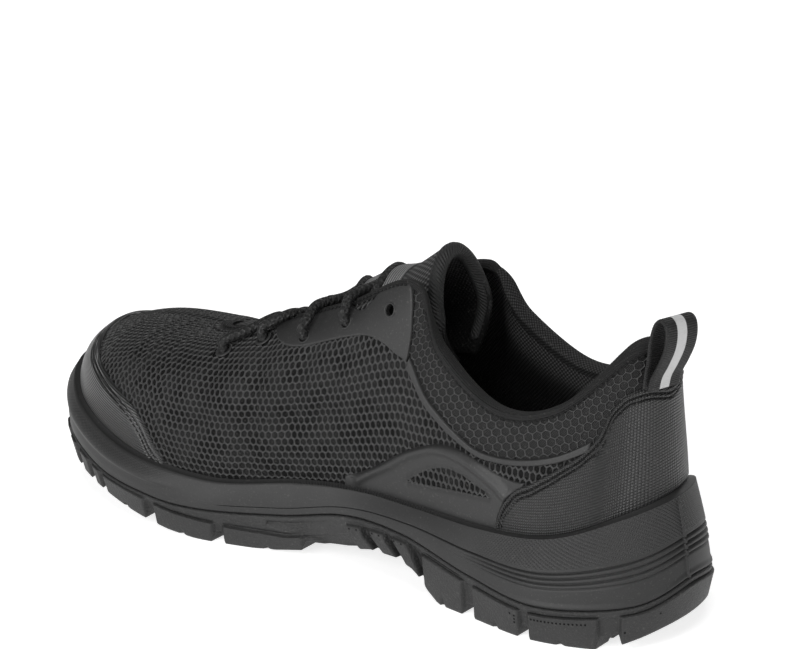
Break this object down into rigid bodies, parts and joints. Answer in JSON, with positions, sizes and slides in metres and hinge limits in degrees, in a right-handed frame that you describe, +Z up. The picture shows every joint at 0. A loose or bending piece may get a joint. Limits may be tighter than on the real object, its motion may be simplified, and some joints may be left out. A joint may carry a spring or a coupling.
{
  "type": "low work shoe",
  "caption": "Low-cut lace-up work shoe for the right foot: hollow mesh upper with toe cap, heel counter, padded collar and tongue, and a pull loop, on a lugged moulded sole.",
  "frame": {"origin": "middle of the shoe's bounding box in plan, at the height of the floor it stands on", "axes": "+X from heel to toe, +Y towards the inner side of the foot, +Z up"},
  "size_m": [0.3048, 0.1108, 0.1296],
  "materials": {
    "outsole_rubber": "matte moulded rubber",
    "midsole_foam": "matte moulded polyurethane",
    "footbed_cloth": "matte black cloth",
    "mesh_cloth": "open honeycomb mesh over cloth",
    "tongue_cloth": "padded spacer cloth",
    "keeper_tape": "grey ribbed tape",
    "cap_skin": "finely ribbed coated textile, satin",
    "counter_skin": "coated textile with a fine raised weave",
    "welded_film": "smooth satin film",
    "binding_knit": "knitted binding",
    "lace_cord": "round braided cord",
    "webbing": "ribbed webbing with a pale stripe"
  },
  "bodies": {
    "root": {"collar_binding": "binding_knit", "collar_strip_inner": "welded_film", "collar_strip_outer": "welded_film", "heel_counter": "counter_skin", "insole": "footbed_cloth", "lace_crossing_1": "lace_cord", "lace_crossing_2": "lace_cord", "lace_crossing_3": "lace_cord", "lace_crossing_4": "lace_cord", "lace_row_inner": "welded_film", "lace_row_outer": "welded_film", "midsole": "midsole_foam", "outsole": "outsole_rubber", "pull_loop": "webbing", "side_panel_inner": "welded_film", "side_panel_outer": "welded_film", "toe_cap": "cap_skin", "tongue": "tongue_cloth", "tongue_keeper": "keeper_tape", "upper": "mesh_cloth"}
  },
  "joints": []
}
